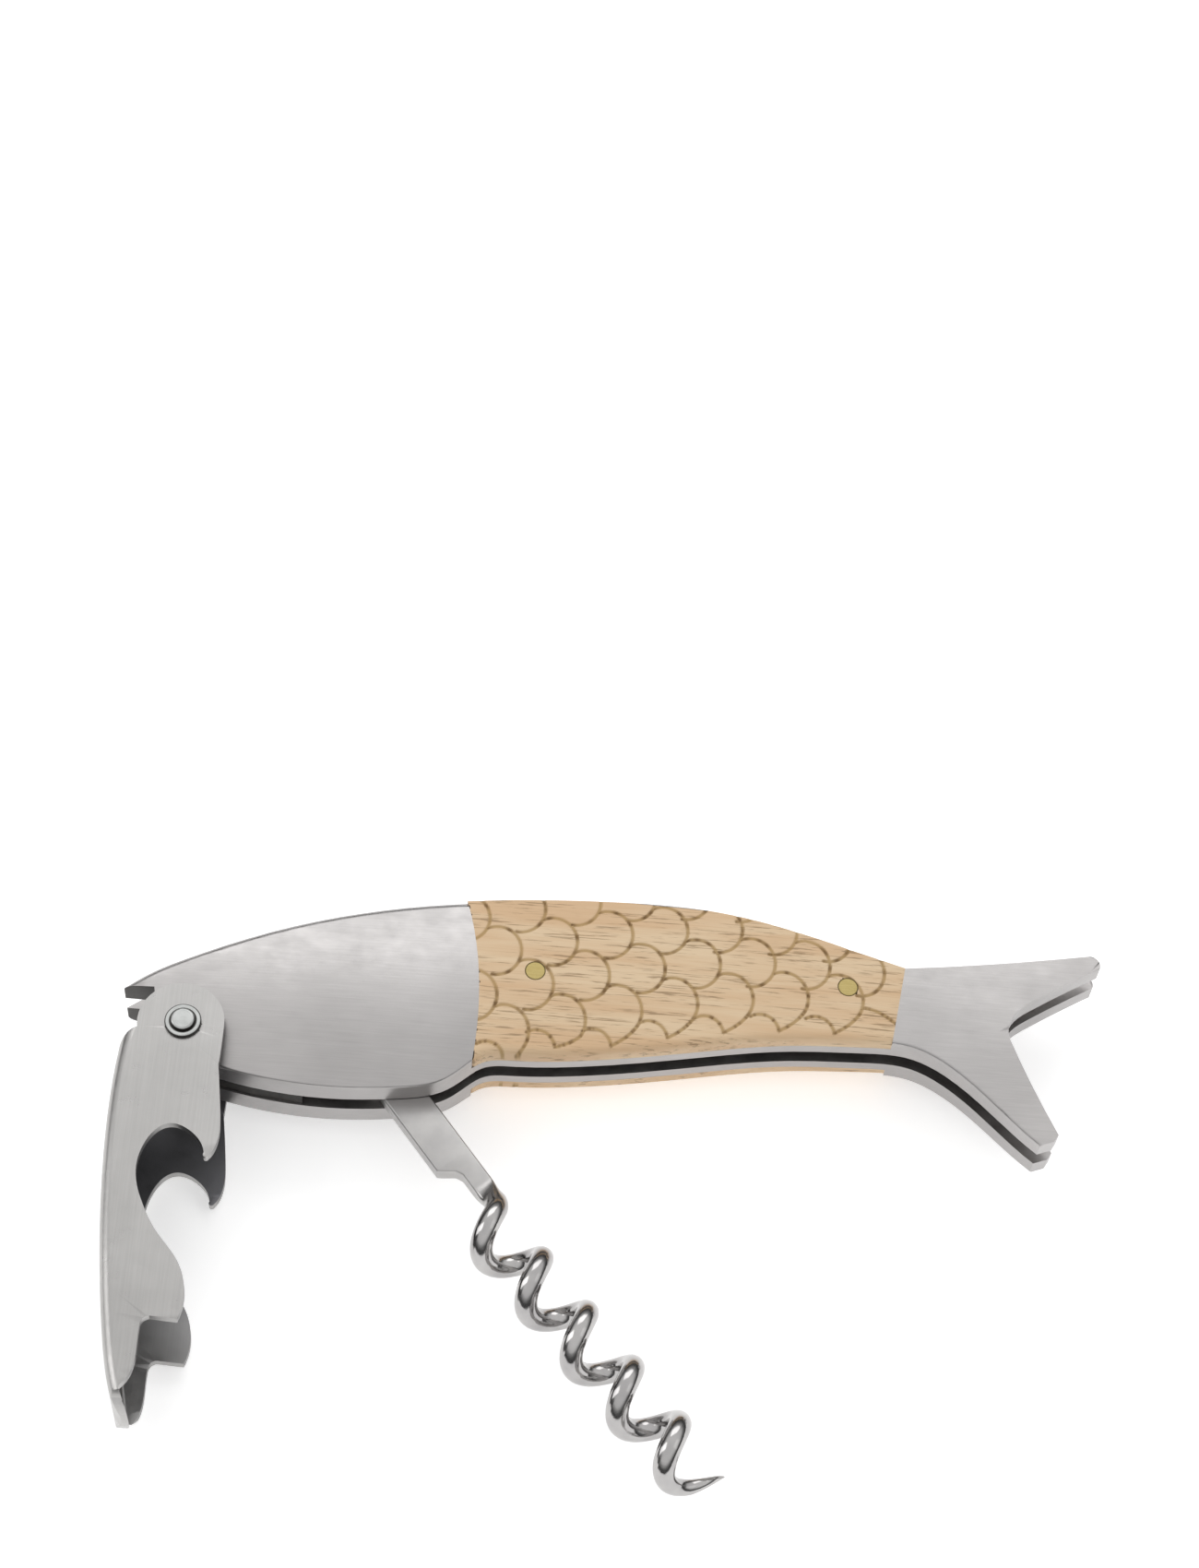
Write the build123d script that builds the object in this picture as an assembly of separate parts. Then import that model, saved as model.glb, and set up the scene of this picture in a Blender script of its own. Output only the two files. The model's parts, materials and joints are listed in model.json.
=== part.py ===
"""Fish-shaped waiter's corkscrew with a folding bottle-opener lever.

The fish lies on its far side.  +X runs from nose to tail, +Y towards the fish's back
and +Z towards the near side.  The origin is on the lever's pivot axis, at the far end
face of the pivot pin, which is the lowest point.  Every piece is drawn about the
middle plane of the fish and lifted by REST_LIFT when it is written.  Millimetres.
"""
from build123d import *
from math import cos, pi, radians, sin
import os

# --- driving dimensions ------------------------------------------------------------
GAP_HALF = 1.4            # half of the slot between the two side plates
LINER_TOP = 3.1           # the wood scales sit on this face of the plate's liner
WOOD_EDGE_ROUND = 1.2     # rounding along the back and the belly of a wood scale
PLATE_EDGE_ROUND = 0.35
HEAD_BACK_ROUND = 1.2     # softer rounding along the back of the head
CROWN_TOP = 9.0           # higher than any point of the crowned face

PIVOT_R = 1.6             # lever pivot pin
PIN_PROUD = 1.0           # how far the pin's heads stand out of the lever's ears
EAR_OUTER = 8.2           # outer face of the lever's ears, from the middle plane
SHEET = 1.25              # thickness of the lever's sheet
EAR_R = 5.7
EAR_INNER = EAR_OUTER - SHEET
REST_LIFT = EAR_OUTER + PIN_PROUD

RUN_CLEAR = 0.05          # running clearance, radial or between faces
SPOT_FACE_Z = 5.5         # flat seat under the inner washers
SPOT_FACE_R = 3.8
INNER_WASHER_R = 3.5
OUTER_WASHER_R = 2.4
OUTER_WASHER_T = 0.4

SPRING_ROUND = 1.0
BRASS_R = 1.4
BRASS_PLACES = {"brass_pin_front": (45.6, 12.1), "brass_pin_rear": (87.7, 13.4)}
BRASS_DOME = {"brass_pin_front": 6.4, "brass_pin_rear": 5.6}

DOWEL_R = 1.0
DOWEL_REACH = 3.2         # how far a hidden dowel enters each plate, from the middle
HEAD_DOWEL = (24.0, 15.0)
TAIL_DOWEL = (103.5, 10.5)
TAIL_SPACER_R = 3.0

WORM_PIVOT = (26.7, -1.75)
WORM_PIN_R = 1.5
WORM_PIN_REACH = 4.0
TANG_R = 3.0
SHANK_LOW = -2.5          # the shank's two long edges, beside the line through the pivot
SHANK_HIGH = 2.85
SHANK_T = 2.5
SHANK_ANGLE = -51.5       # direction of the shank, degrees from +X
COIL_TILT = 2.9           # the coil leans this much from the shank, degrees
COIL_START = 23.8         # along the shank, from the worm pivot
COIL_SIDE = -1.4          # coil axis beside the shank's middle line, at its start
COIL_R = 2.95             # radius of the wire's centre line
WIRE_R = 1.5
PITCH = 9.33
FULL_TURNS = 4.4          # turns at the wire's full thickness
# The ground point: (turns past the full wire, wire radius, how far it leads the coil).
POINT = [(0.0, WIRE_R, 0.0), (0.33, 1.0, 0.1), (0.6, 0.12, -0.2)]
# Lower edge of the neck between shank and coil: (along the shank, beside its middle).
NECK = [(15.8, SHANK_LOW), (17.2, -0.5), (18.4, 0.1), (22.3, 0.9), (24.3, 0.9)]

# --- outlines ----------------------------------------------------------------------
NOSE = (-8.8, 6.4)
BACK = [NOSE, (-5.9, 8.5), (-1.3, 11.0), (10.5, 16.3), (25.0, 20.7), (42.5, 23.2),
        (60.0, 24.0), (77.7, 22.1), (87.8, 19.3), (95.6, 17.1)]
TAIL_TOP = [(95.6, 17.1), (107.9, 19.0), (120.6, 21.3)]
TAIL_UPPER_TIP = [(120.6, 21.3), (121.9, 20.9), (122.2, 19.5)]
FORK_UPPER = [(122.2, 19.5), (118.0, 17.0), (113.0, 13.8)]
FORK_BOTTOM = [(113.0, 13.8), (110.2, 11.2), (109.7, 7.6)]
FORK_LOWER = [(109.7, 7.6), (112.6, 0.8), (115.9, -5.9)]
TAIL_LOWER_TIP = [(115.9, -5.9), (115.3, -6.9), (113.4, -7.6)]
BELLY = [(113.4, -7.6), (107.7, -2.4), (101.5, 2.9), (96.8, 5.2), (90.0, 5.6), (80.0, 5.1),
         (65.0, 2.7), (52.0, 0.7), (43.5, 0.1), (39.6, -0.4), (37.2, -2.2), (34.6, -4.2),
         (29.0, -5.7), (20.5, -6.4), (12.5, -6.0), (2.9, -4.1)]
NECK_R = 5.0              # the plates are round about the lever pivot, under the ears
NECK_TOP = (-4.0, 3.0)
UNDER_NOSE = (-4.7, 6.3)

HEAD_JOINT = [(35.2, 24.5), (38.4, 7.0), (37.2, -7.0)]
TAIL_JOINT = [(96.4, 23.0), (92.6, -2.0)]

# Crown of the outer face: station, middle line, height there, fall 20 mm to each side.
CROWN = [(-12.0, 7.0, 4.5, 1.6), (0.0, 7.5, 5.8, 2.3), (20.0, 8.0, 6.35, 2.6),
         (42.0, 11.5, 6.4, 2.6), (66.0, 13.0, 6.1, 2.4), (86.0, 12.5, 5.45, 1.9),
         (97.0, 11.0, 4.95, 1.2), (110.0, 8.0, 4.45, 0.4), (126.0, 7.0, 4.2, 0.3)]
CROWN_REACH = 20.0

LEVER_BACK = [(-8.0, -3.9), (-8.3, -11.5), (-7.9, -22.0), (-6.9, -32.1), (-5.2, -43.1),
              (-3.6, -50.0), (-2.75, -51.9), (-1.7, -52.8)]
SHOULDER = [(-5.9, -1.1), (-7.1, -2.0), (-8.0, -3.9)]
LEVER_TOP_OF_WEB = -2.9
EAR_MIDDLE_X = -0.3       # the ears are round about a point just behind the pivot
HOOK_SIDE = [(EAR_R + EAR_MIDDLE_X, 0.0), (5.3, -6.0), (6.3, -13.0), (6.3, -16.9), (5.4, -18.9)]
HOOK_TIP = (4.8, -18.5)
CAP_NOTCH = [HOOK_TIP, (3.3, -16.0), (0.0, -14.7), (-3.5, -19.9), (-2.2, -25.9), (0.2, -29.9),
             (3.2, -33.6), (4.5, -37.5), (4.0, -41.3)]
RIM_STEP = [(4.0, -41.3), (0.6, -41.1)]
STEP_CORNER = [(0.6, -41.1), (-0.2, -41.5), (-0.5, -42.4)]
FLANGE_END = [(-0.5, -42.4), (-0.5, -45.5), (-1.0, -48.9), (-2.2, -50.5)]
LEVER_FOOT = (-0.9, -52.9)
# The lever's end, seen from its open side: (across, down), ground a little askew.
LEVER_TIP = [(8.4, -50.7), (6.0, -52.0), (3.0, -52.7), (0.0, -52.6), (-3.0, -51.8), (-6.0, -50.5),
             (-8.4, -48.6)]
BEND_OUTER = 1.5
BEND_INNER = 0.5

SPRING = [(21.5, 1.45), (44.0, 1.45), (48.5, 6.3), (60.0, 8.3), (92.0, 10.2), (92.6, 14.5),
          (88.0, 17.6), (76.0, 21.0), (60.0, 22.7), (46.0, 22.0), (38.5, 17.0), (32.0, 7.5),
          (21.5, 4.6)]
HEAD_SPACER = [(2.9, -4.0), (9.0, -5.3), (16.0, -6.1), (16.3, -2.5), (17.5, 6.5), (28.0, 11.5),
               (36.8, 17.8), (36.8, 21.3), (25.0, 19.5), (10.5, 15.1), (-1.0, 9.9), (-3.6, 3.0)]

# Middles of the plate's upper edges that are rounded.
HEAD_BACK_RIM = (12.5, 17.1, 5.6)
HEAD_BELLY_RIM = (21.0, -6.4, 5.0)
TAIL_BELLY_RIM = (104.4, 0.6, 4.5)

# Short names for the shank's own directions, in the middle plane.
ALONG = Vector(cos(radians(SHANK_ANGLE)), sin(radians(SHANK_ANGLE)), 0)
ASIDE = Vector(-ALONG.Y, ALONG.X, 0)
COIL_ANGLE = SHANK_ANGLE + COIL_TILT
COIL_AXIS = Vector(cos(radians(COIL_ANGLE)), sin(radians(COIL_ANGLE)), 0)
COIL_SIDEWAYS = Vector(-COIL_AXIS.Y, COIL_AXIS.X, 0)


def slab(outline, low, high):
    """A flat piece between two heights, from a closed outline."""
    return Pos(0, 0, low) * extrude(outline, high - low)


def rod(place, radius, low, high):
    """A round rod along Z."""
    return Pos(place[0], place[1], (low + high) / 2) * Cylinder(radius, high - low)


def mirrored(piece):
    """The same piece on the far side of the middle plane."""
    return mirror(piece, about=Plane.XY)


# --- the fish's body -----------------------------------------------------------------
def fish_outline():
    """Silhouette of one side plate."""
    edges = [
        Spline(*BACK, tangents=[(1.0, 0.75), (1.0, -0.28)]),
        Spline(*TAIL_TOP),
        ThreePointArc(*TAIL_UPPER_TIP),
        Spline(*FORK_UPPER),
        Spline(*FORK_BOTTOM, tangents=[(-1.0, -0.66), (0.42, -1.0)]),
        Spline(*FORK_LOWER),
        Polyline(*TAIL_LOWER_TIP),
        Spline(*BELLY),
        ThreePointArc(BELLY[-1], (-NECK_R, 0.0), NECK_TOP),
        Line(NECK_TOP, UNDER_NOSE),
        Line(UNDER_NOSE, NOSE),
    ]
    return make_face(edges)


def crown_section(x, middle, height, fall):
    """One cross-section of the crowned block, square at the bottom, arched on top."""
    low, high = middle - CROWN_REACH, middle + CROWN_REACH
    section = make_face([
        Line((low, 0), (high, 0)),
        Line((high, 0), (high, height - fall)),
        ThreePointArc((high, height - fall), (middle, height), (low, height - fall)),
        Line((low, height - fall), (low, 0)),
    ])
    return Plane(origin=(x, 0, 0), x_dir=(0, 1, 0), z_dir=(1, 0, 0)) * section


def crowned_block():
    """A block whose top is the crowned outer face of the fish."""
    return loft([crown_section(*station) for station in CROWN])


def wood_outline():
    """The stretch of the body that carries wood, between head and tail."""
    back_left, _, belly_left = HEAD_JOINT
    back_right, belly_right = TAIL_JOINT
    return make_face([
        ThreePointArc(*HEAD_JOINT),
        Line(belly_left, belly_right),
        Line(belly_right, back_right),
        Line(back_right, back_left),
    ])


def edge_near(piece, x, y, z):
    """The edge of a piece whose middle lies nearest to a point."""
    spot = Vector(x, y, z)
    return min(piece.edges(), key=lambda edge: (edge.center() - spot).length)


def side_plate():
    """Near side plate: cast head, thin liner under the wood, and tail, in one piece."""
    body = slab(fish_outline(), GAP_HALF, CROWN_TOP) & crowned_block()
    body -= slab(wood_outline(), LINER_TOP, CROWN_TOP)
    body = fillet(edge_near(body, *HEAD_BACK_RIM), HEAD_BACK_ROUND)
    for rim in (HEAD_BELLY_RIM, TAIL_BELLY_RIM):
        body = fillet(edge_near(body, *rim), PLATE_EDGE_ROUND)
    body -= rod((0, 0), PIVOT_R, 0, CROWN_TOP)
    body -= rod((0, 0), SPOT_FACE_R, SPOT_FACE_Z, CROWN_TOP)
    body -= rod(WORM_PIVOT, WORM_PIN_R, 0, WORM_PIN_REACH)
    for place in BRASS_PLACES.values():
        body -= rod(place, BRASS_R, 0, CROWN_TOP)
    for place in (HEAD_DOWEL, TAIL_DOWEL):
        body -= rod(place, DOWEL_R, 0, DOWEL_REACH)
    return body


def wood_scale():
    """Near wood scale, flush with the steel at both ends and rounded between them."""
    body = slab(fish_outline(), LINER_TOP, CROWN_TOP) & crowned_block()
    body &= slab(wood_outline(), LINER_TOP, CROWN_TOP)
    long_rims = [e for e in body.edges() if e.center().Z > 4.2 and e.length > 30]
    body = fillet(long_rims, WOOD_EDGE_ROUND)
    for place in BRASS_PLACES.values():
        body -= rod(place, BRASS_R, 0, CROWN_TOP)
    return body


def brass_pin(name):
    """A rod through wood, plates and spring, ground flush with both crowned faces."""
    reach = BRASS_DOME[name]
    pin = rod(BRASS_PLACES[name], BRASS_R, -reach, reach)
    return pin & (crowned_block() + mirrored(crowned_block()))


def back_spring():
    """Spring bar between the plates; its free end bears on the worm's tang."""
    body = slab(make_face(Polyline(*SPRING, close=True)), -GAP_HALF, GAP_HALF)
    uprights = body.edges().filter_by(Axis.Z).sort_by(Axis.X)
    body = fillet(uprights[2:-1], SPRING_ROUND)
    for place in BRASS_PLACES.values():
        body -= rod(place, BRASS_R, -GAP_HALF, GAP_HALF)
    return body


def head_spacer():
    """Block that holds the head halves apart, from the belly to the fish's back."""
    body = slab(make_face(Polyline(*HEAD_SPACER, close=True)), -GAP_HALF, GAP_HALF)
    body -= rod((0, 0), PIVOT_R, -GAP_HALF, GAP_HALF)
    body -= rod(HEAD_DOWEL, DOWEL_R, -GAP_HALF, GAP_HALF)
    return body


def tail_spacer():
    """Round washer that holds the tail halves apart."""
    body = rod(TAIL_DOWEL, TAIL_SPACER_R, -GAP_HALF, GAP_HALF)
    return body - rod(TAIL_DOWEL, DOWEL_R, -GAP_HALF, GAP_HALF)


# --- the lever -----------------------------------------------------------------------
def lever_profile():
    """Side view of one flange of the lever."""
    shoulder = Spline(*SHOULDER)
    return make_face([
        shoulder,
        Spline(*LEVER_BACK),
        Polyline(LEVER_BACK[-1], LEVER_FOOT, FLANGE_END[-1]),
        Spline(*reversed(FLANGE_END)),
        ThreePointArc(*reversed(STEP_CORNER)),
        Line(*reversed(RIM_STEP)),
        Spline(*reversed(CAP_NOTCH)),
        ThreePointArc(HOOK_TIP, (5.1, -19.1), HOOK_SIDE[-1]),
        Spline(*reversed(HOOK_SIDE), tangents=[(0.9, 1.0), (0.0, 1.0)]),
        ThreePointArc(HOOK_SIDE[0], (EAR_MIDDLE_X, EAR_R), SHOULDER[0]),
    ])


def lever_hollow():
    """Inside of the channel: everything on the open side of the web."""
    inner = [(x + SHEET, y) for x, y in LEVER_BACK]
    below = LEVER_BACK[-1][1] - 5
    return make_face([
        Spline(*inner),
        Polyline(inner[-1], (inner[-1][0], below), (20, below), (20, 12), (-20, 12),
                 (-20, LEVER_TOP_OF_WEB), (inner[0][0], LEVER_TOP_OF_WEB), inner[0]),
    ])


def long_edges(piece):
    """The two curved edges that run down the back of the lever."""
    return [e for e in piece.edges() if 45 < e.length < 55 and e.geom_type == GeomType.BSPLINE]


def beyond_tip():
    """Everything past the lever's rounded end, as one block across the lever."""
    (near, near_y), (far, far_y) = LEVER_TIP[0], LEVER_TIP[-1]
    below = LEVER_FOOT[1] - 1
    outline = make_face([
        Spline(*LEVER_TIP),
        Polyline((far, far_y), (far, below), (near, below), (near, near_y)),
    ])
    across = Plane(origin=(0, 0, 0), x_dir=(0, 0, 1), z_dir=(-1, 0, 0))
    return across * extrude(outline, 30, both=True)


def lever():
    """U-shaped lever bent from sheet: ears, cap notch, rim step and rounded end."""
    body = slab(lever_profile(), -EAR_OUTER, EAR_OUTER)
    body = fillet(long_edges(body), BEND_OUTER)
    hollow = slab(lever_hollow(), -EAR_INNER, EAR_INNER)
    body -= fillet(long_edges(hollow), BEND_INNER)
    body -= beyond_tip()
    body -= rod((0, 0), PIVOT_R + RUN_CLEAR, -EAR_OUTER, EAR_OUTER)
    return body


def lever_pivot_pin():
    """Rivet through ears and plates, with rounded heads."""
    pin = rod((0, 0), PIVOT_R, -REST_LIFT, REST_LIFT)
    return fillet(pin.edges().filter_by(GeomType.CIRCLE), 0.35)


def washer(radius, low, high):
    """A flat washer on the lever's pivot pin."""
    ring = rod((0, 0), radius, low, high) - rod((0, 0), PIVOT_R, low, high)
    rims = [e for e in ring.edges().filter_by(GeomType.CIRCLE) if abs(e.radius - radius) < 0.01]
    return chamfer(rims, 0.08)


# --- the worm ------------------------------------------------------------------------
def shank_point(along, aside):
    """A point of the middle plane in the shank's own directions."""
    spot = Vector(*WORM_PIVOT) + ALONG * along + ASIDE * aside
    return (spot.X, spot.Y)


def coil_place():
    """Plane at the coil's start, +Z along its axis, the wire starting on its +X side."""
    start = shank_point(COIL_START, COIL_SIDE)
    return Plane(origin=(start[0], start[1], 0), x_dir=COIL_SIDEWAYS, z_dir=COIL_AXIS)


def wire_section(turn, radius, lead=0.0):
    """A disc across the wire at a given turn of the coil, moved ahead along its axis."""
    angle = 2 * pi * turn
    centre = (COIL_R * cos(angle), COIL_R * sin(angle), PITCH * turn + lead)
    heading = (-COIL_R * sin(angle), COIL_R * cos(angle), PITCH / (2 * pi))
    outward = (cos(angle), sin(angle), 0)
    return Plane(origin=centre, x_dir=outward, z_dir=heading) * Circle(radius)


def worm():
    """Flat shank with a pierced tang, and the coil ground to a point, in one piece."""
    lower = [(0, SHANK_LOW)] + NECK
    upper = [(NECK[-1][0], SHANK_HIGH), (0, SHANK_HIGH)]
    shank = make_face(Polyline([shank_point(*spot) for spot in lower + upper], close=True))
    shank_body = slab(shank, -SHANK_T / 2, SHANK_T / 2)
    shank_body += rod(WORM_PIVOT, TANG_R, -SHANK_T / 2, SHANK_T / 2)
    shank_body -= rod(WORM_PIVOT, WORM_PIN_R + RUN_CLEAR, -SHANK_T / 2, SHANK_T / 2)
    path = Helix(PITCH, PITCH * FULL_TURNS, COIL_R)
    coil = sweep(wire_section(0, WIRE_R), path=path, is_frenet=True)
    point_path = Helix(PITCH, PITCH * POINT[-1][0], COIL_R)
    point_sections = [wire_section(*section) for section in POINT]
    point = sweep(point_sections, path=point_path, is_frenet=True, multisection=True)
    coil += Pos(0, 0, PITCH * FULL_TURNS) * Rot(0, 0, 360 * FULL_TURNS) * point
    coil += Pos(COIL_R, 0, 0) * Sphere(WIRE_R)
    return shank_body + coil_place() * coil


# --- writing -------------------------------------------------------------------------
def write(name, piece):
    """Lift a piece to its height over the resting plane and write it."""
    export_step(Pos(0, 0, REST_LIFT) * piece, f"parts/{name}.step")


def main():
    os.makedirs("parts", exist_ok=True)
    plate = side_plate()
    wood = wood_scale()
    write("side_plate_near", plate)
    write("side_plate_far", mirrored(plate))
    write("wood_scale_near", wood)
    write("wood_scale_far", mirrored(wood))
    for name in BRASS_PLACES:
        write(name, brass_pin(name))
    write("back_spring", back_spring())
    write("head_spacer", head_spacer())
    write("head_dowel", rod(HEAD_DOWEL, DOWEL_R, -DOWEL_REACH, DOWEL_REACH))
    write("tail_spacer", tail_spacer())
    write("tail_dowel", rod(TAIL_DOWEL, DOWEL_R, -DOWEL_REACH, DOWEL_REACH))
    write("lever", lever())
    write("lever_pivot_pin", lever_pivot_pin())
    inner = washer(INNER_WASHER_R, SPOT_FACE_Z, EAR_INNER - RUN_CLEAR)
    outer_low = EAR_OUTER + RUN_CLEAR
    outer = washer(OUTER_WASHER_R, outer_low, outer_low + OUTER_WASHER_T)
    write("inner_washer_near", inner)
    write("inner_washer_far", mirrored(inner))
    write("outer_washer_near", outer)
    write("outer_washer_far", mirrored(outer))
    write("worm", worm())
    write("worm_pivot_pin", rod(WORM_PIVOT, WORM_PIN_R, -WORM_PIN_REACH, WORM_PIN_REACH))


main()
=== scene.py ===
import bpy
import json
import math
import random
import numpy as np
from mathutils import Matrix, Vector
from mathutils.bvhtree import BVHTree
from mathutils.kdtree import KDTree


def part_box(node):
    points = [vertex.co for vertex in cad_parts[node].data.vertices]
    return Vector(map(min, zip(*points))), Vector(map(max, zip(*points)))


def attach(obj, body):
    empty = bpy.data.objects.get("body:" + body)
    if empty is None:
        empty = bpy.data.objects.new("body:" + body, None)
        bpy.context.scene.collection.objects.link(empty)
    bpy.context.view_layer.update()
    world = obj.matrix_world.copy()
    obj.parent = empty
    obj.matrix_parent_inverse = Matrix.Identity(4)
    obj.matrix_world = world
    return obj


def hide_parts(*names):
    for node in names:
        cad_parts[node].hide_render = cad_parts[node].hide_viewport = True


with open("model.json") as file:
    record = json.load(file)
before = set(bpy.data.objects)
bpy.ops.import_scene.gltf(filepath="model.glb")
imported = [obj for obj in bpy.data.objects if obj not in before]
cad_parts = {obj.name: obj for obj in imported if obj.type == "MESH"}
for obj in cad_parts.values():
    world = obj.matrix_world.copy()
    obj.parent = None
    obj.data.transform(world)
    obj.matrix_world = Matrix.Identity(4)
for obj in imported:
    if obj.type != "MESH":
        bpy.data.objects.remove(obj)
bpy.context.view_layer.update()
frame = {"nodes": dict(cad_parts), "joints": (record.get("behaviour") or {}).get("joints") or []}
nodes = frame["nodes"]

MM = 0.001
JOINTS = {joint["name"]: joint for joint in frame["joints"]}
Z_MIDDLE = JOINTS["lever_pivot"]["pos_m"][2]      # middle plane of the fish
WORM_PIVOT = Vector(JOINTS["worm_pivot"]["pos_m"])


# --- node helpers --------------------------------------------------------------------
def new_material(name):
    """A node material and its Principled shader."""
    mat = bpy.data.materials.new(name)
    mat.use_nodes = True
    return mat, mat.node_tree.nodes["Principled BSDF"]


def put(mat, kind, inputs=None, **settings):
    """Adds a node. Each input is given a number, a colour or another node's output."""
    node = mat.node_tree.nodes.new(kind)
    for key, value in settings.items():
        setattr(node, key, value)
    fill(mat, node, inputs or {})
    return node


def fill(mat, node, inputs):
    for key, value in inputs.items():
        if isinstance(value, bpy.types.NodeSocket):
            mat.node_tree.links.new(value, node.inputs[key])
        else:
            node.inputs[key].default_value = value


def stretched(mat, per_mm):
    """Coordinates in the object's own space, counted per millimetre along X, Y and Z."""
    place = put(mat, "ShaderNodeTexCoord").outputs["Object"]
    scale = tuple(count / MM for count in per_mm)
    return put(mat, "ShaderNodeMapping", {"Vector": place, "Scale": scale}).outputs["Vector"]


def noise(mat, per_mm, detail=2.0, roughness=0.5):
    settings = {"Vector": stretched(mat, per_mm), "Scale": 1.0, "Detail": detail, "Roughness": roughness}
    return put(mat, "ShaderNodeTexNoise", settings).outputs["Fac"]


def remap(mat, value, low, high, to_low=0.0, to_high=1.0, smooth=False):
    settings = {"Value": value, "From Min": low, "From Max": high, "To Min": to_low, "To Max": to_high}
    kind = "SMOOTHSTEP" if smooth else "LINEAR"
    return put(mat, "ShaderNodeMapRange", settings, interpolation_type=kind).outputs["Result"]


def maths(mat, operation, first, second=0.0):
    node = put(mat, "ShaderNodeMath", {0: first, 1: second}, operation=operation)
    return node.outputs["Value"]


def mixed(mat, amount, first, second, blend="MIX"):
    """Colour mix. Sockets 6 and 7 are the node's two colours, output 2 its result."""
    node = put(mat, "ShaderNodeMix", {0: amount, 6: first, 7: second}, data_type="RGBA", blend_type=blend)
    return node.outputs[2]


def bump(mat, height, depth_mm, normal=None):
    inputs = {"Height": height, "Strength": 1.0, "Distance": depth_mm * MM}
    if normal is not None:
        inputs["Normal"] = normal
    return put(mat, "ShaderNodeBump", inputs).outputs["Normal"]


def distance_from_z(mat, place):
    """Distance of a place from the Z axis."""
    level = {0: place, 1: (1.0, 1.0, 0.0)}
    flat = put(mat, "ShaderNodeVectorMath", level, operation="MULTIPLY").outputs[0]
    return put(mat, "ShaderNodeVectorMath", {0: flat}, operation="LENGTH").outputs["Value"]


def rgb(red, green, blue):
    return (red, green, blue, 1.0)


def painted(mat, *names):
    """Gives a material to CAD nodes."""
    for name in names:
        data = nodes[name].data
        data.materials.clear()
        data.materials.append(mat)


# --- materials -----------------------------------------------------------------------
CLOUD_SHADE = 0.90             # the darker clouds in the steel
CHANNEL_HALF = 6.96 * MM       # inner faces of the lever's flanges, from the middle plane
# near-black colour of the painted shade on the lever's +X faces and under the nose
PAINTED_SHADE_DARK = (0.06, 0.058, 0.055)
TURNED_RINGS = 22.0            # radians of ring pattern per millimetre of radius


def steel(name, tint, rough, grain, shade_painter):
    """Satin steel: cloudy tint, fine drawn grain and faint smears in the gloss."""
    mat, shader = new_material(name)
    shader.inputs["Metallic"].default_value = 1.0
    clouds = noise(mat, (0.07, 0.07, 0.07), 3.0)
    fine = noise(mat, grain, 4.0, 0.6)
    smears = noise(mat, (0.3, 0.45, 0.4), 4.0, 0.6)
    darker = tuple(channel * CLOUD_SHADE for channel in tint)
    colour = mixed(mat, remap(mat, clouds, 0.35, 0.65), rgb(*darker), rgb(*tint))
    streak = remap(mat, fine, 0.3, 0.7, 0.94, 1.04)
    grey = put(mat, "ShaderNodeCombineColor", {0: streak, 1: streak, 2: streak}).outputs[0]
    colour = mixed(mat, 1.0, colour, grey, "MULTIPLY")
    gloss = remap(mat, smears, 0.3, 0.7, rough - 0.05, rough + 0.07)
    # the given function paints shade into the colour and raises the roughness there
    colour, gloss = shade_painter(mat, colour, gloss)
    normal = bump(mat, fine, 0.006)
    normal = bump(mat, smears, 0.012, normal)
    fill(mat, shader, {"Base Color": colour, "Roughness": gloss, "Normal": normal})
    return mat


def painted_shade_inside_lever(mat, colour, gloss):
    """Painted shade between the lever's flanges, deepest near the pivot, and painted shade on the cut faces
    that turn towards +X.
    """
    place = put(mat, "ShaderNodeSeparateXYZ", {0: put(mat, "ShaderNodeTexCoord").outputs["Object"]})
    off_middle = maths(mat, "ABSOLUTE", maths(mat, "SUBTRACT", place.outputs["Z"], Z_MIDDLE))
    between = remap(mat, off_middle, CHANNEL_HALF + 0.02 * MM, CHANNEL_HALF)
    facing = put(mat, "ShaderNodeSeparateXYZ", {0: put(mat, "ShaderNodeTexCoord").outputs["Normal"]})
    turned = maths(mat, "ABSOLUTE", facing.outputs["Z"])
    towards = maths(mat, "MAXIMUM", turned, facing.outputs["X"])
    inner = maths(mat, "MULTIPLY", between, remap(mat, towards, 0.2, 0.5))
    # painted shade inside the channel, strongest towards the pivot end
    depth = remap(mat, place.outputs["Y"], -40 * MM, -26 * MM, 0.35, 1.0, smooth=True)
    amount = maths(mat, "MULTIPLY", inner, depth)
    # the channel's inner faces get a dark grey as painted shade
    colour = mixed(mat, amount, colour, rgb(0.20, 0.20, 0.21))
    # painted shade on the faces that turn towards +X, beside the plate
    cut_edge_painted_shade = remap(mat, facing.outputs["X"], 0.75, 0.95, 0.0, 0.65)
    colour = mixed(mat, cut_edge_painted_shade, colour, rgb(*PAINTED_SHADE_DARK))
    gloss = maths(mat, "ADD", gloss, maths(mat, "MULTIPLY", amount, 0.15))
    return colour, gloss


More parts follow.
